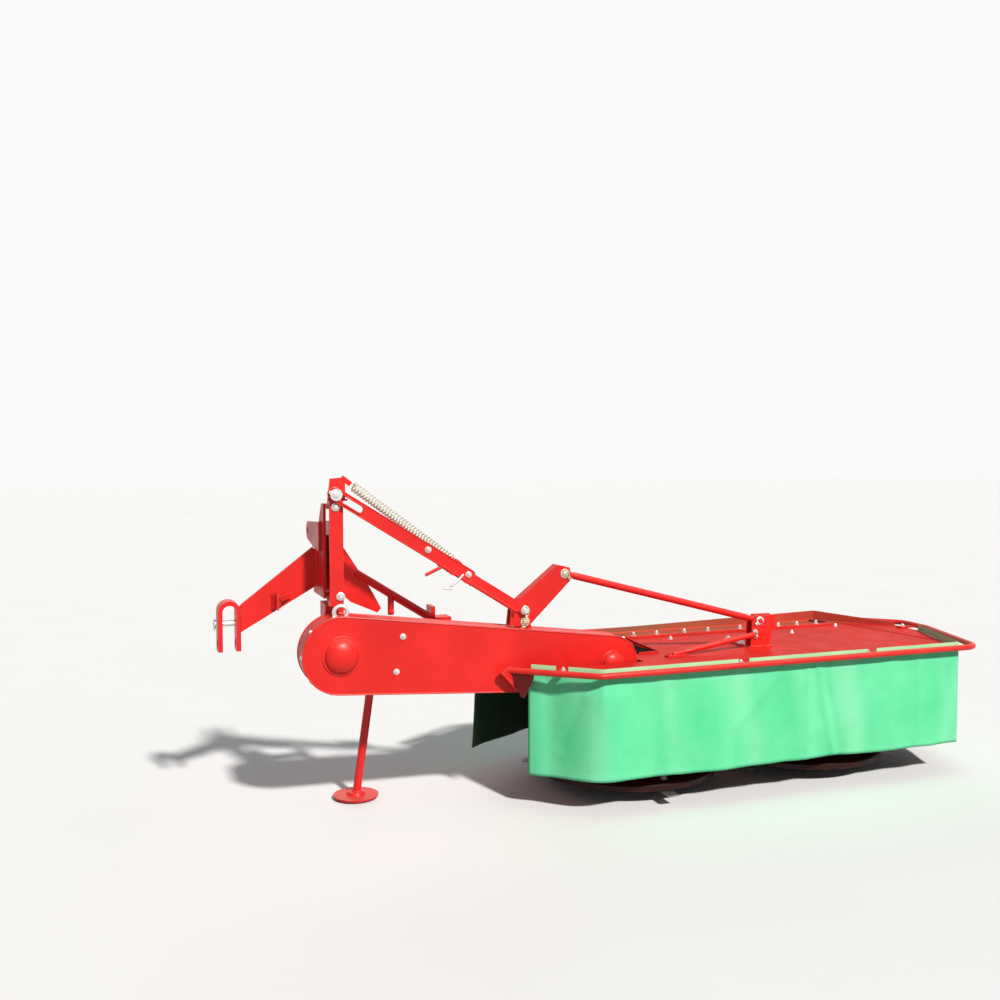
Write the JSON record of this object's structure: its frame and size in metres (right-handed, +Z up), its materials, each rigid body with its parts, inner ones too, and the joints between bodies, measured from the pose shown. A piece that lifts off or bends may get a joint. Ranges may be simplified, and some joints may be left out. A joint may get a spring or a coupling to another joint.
{
  "type": "drum mower",
  "caption": "Rear-mounted rotary drum mower with belt drive, canvas skirts, guard rail and three-point hitch, parked on its saucers and leg",
  "frame": {"origin": "middle of the bounding box, on the ground under the saucers", "axes": "+X along the cutter unit away from the hitch, +Y driving direction, +Z up"},
  "size_m": [3.2128, 0.909, 1.2728],
  "materials": {
    "red_paint": "satin red paint, dusty on top",
    "dark_paint": "dull dark red paint",
    "maroon_paint": "dull maroon paint, worn at the rim",
    "zinc": "yellow passivated zinc",
    "bare_steel": "bare steel",
    "green_canvas": "coated woven canvas"
  },
  "bodies": {
    "hitch": {"mast": "red_paint", "top_link_lugs": "red_paint", "left_arm": "red_paint", "right_arm": "red_paint", "left_clevis": "red_paint", "right_clevis": "red_paint", "cross_pin": "zinc", "swing_pin": "zinc"},
    "swing_frame": {"swing_post": "red_paint", "head_plate": "red_paint", "slot_pin_stud": "zinc", "bearing_carrier": "red_paint", "stand_arm": "red_paint", "stand_sleeve": "red_paint", "relief_spring": "zinc"},
    "stand": {"stand_leg": "red_paint", "stand_foot": "red_paint"},
    "drive_shaft": {"input_shaft": "bare_steel"},
    "housing": {"belt_housing": "red_paint", "belt_cover": "red_paint", "eye_ring": "zinc"},
    "cutter": {"gear_beam": "red_paint", "cover_plate": "red_paint", "front_guard": "red_paint", "rail_rear_tube": "red_paint", "rail_outer_tube": "red_paint", "rail_front_tube": "red_paint", "rail_stays": "red_paint", "rail_bracket": "dark_paint", "skirt_rear": "green_canvas", "skirt_outer": "green_canvas", "skirt_front": "green_canvas", "strut_bracket": "red_paint", "cover_brace": "red_paint"},
    "left_rotor": {"drum_left": "maroon_paint", "blades_left": "bare_steel"},
    "right_rotor": {"drum_right": "maroon_paint", "blades_right": "bare_steel"},
    "left_skid": {"saucer_left": "maroon_paint"},
    "right_skid": {"saucer_right": "maroon_paint"},
    "lift_lever": {"lever": "red_paint", "lever_pins": "zinc"},
    "lift_strut": {"strut": "red_paint"},
    "lift_link": {"link_bar": "red_paint", "link_rod": "red_paint"}
  },
  "joints": [
    {"name": "swing", "type": "hinge", "parent": "hitch", "child": "swing_frame", "pos_m": [-1.19089, -0.0825, 0.98], "axis": [0, 0, -1], "range_deg": [0, 90]},
    {"name": "stand_slide", "type": "slide", "parent": "swing_frame", "child": "stand", "axis": [0.1392, 0, 0.9903], "range_m": [0, 0.195]},
    {"name": "input_spin", "type": "hinge", "parent": "swing_frame", "child": "drive_shaft", "pos_m": [-1.18689, 0.1175, 0.623], "axis": [0, 1, 0], "continuous": true},
    {"name": "float", "type": "hinge", "parent": "swing_frame", "child": "housing", "pos_m": [-1.18689, -0.0675, 0.623], "axis": [0, -1, 0], "range_deg": [0, 12], "deforming": ["relief_spring"]},
    {"name": "level", "type": "hinge", "parent": "housing", "child": "cutter", "pos_m": [-0.10761, -0.0675, 0.522], "axis": [0, -1, 0], "range_deg": [-12, 0]},
    {"name": "lever_turn", "type": "hinge", "parent": "housing", "child": "lift_lever", "pos_m": [-0.45689, -0.1055, 0.698], "axis": [0, -1, 0], "range_deg": [-15.68, 0]},
    {"name": "strut_turn", "type": "hinge", "parent": "lift_lever", "child": "lift_strut", "pos_m": [-0.28989, -0.1055, 0.879], "axis": [0, -1, 0], "range_deg": [0, 9.18]},
    {"name": "link_turn", "type": "hinge", "parent": "lift_lever", "child": "lift_link", "pos_m": [-0.46089, -0.1365, 0.745], "axis": [0, -1, 0], "range_deg": [0, 12]},
    {"name": "left_drum_spin", "type": "hinge", "parent": "cutter", "child": "left_rotor", "pos_m": [0.04439, 0.0175, 0.3], "axis": [0, 0, 1], "continuous": true},
    {"name": "right_drum_spin", "type": "hinge", "parent": "cutter", "child": "right_rotor", "pos_m": [0.87439, 0.0175, 0.3], "axis": [0, 0, 1], "continuous": true},
    {"name": "left_saucer_spin", "type": "hinge", "parent": "left_rotor", "child": "left_skid", "pos_m": [0.04439, 0.0175, 0.03], "axis": [0, 0, 1], "continuous": true},
    {"name": "right_saucer_spin", "type": "hinge", "parent": "right_rotor", "child": "right_skid", "pos_m": [0.87439, 0.0175, 0.03], "axis": [0, 0, 1], "continuous": true}
  ],
  "couplings": [
    {"joint": "level", "follows": "float", "ratio": -1},
    {"joint": "lever_turn", "follows": "float", "ratio": -1.3025},
    {"joint": "strut_turn", "follows": "float", "ratio": 0.7609},
    {"joint": "link_turn", "follows": "float", "ratio": 0.9956},
    {"joint": "right_drum_spin", "follows": "left_drum_spin", "ratio": -1},
    {"joint": "input_spin", "follows": "left_drum_spin", "ratio": 0.32}
  ]
}
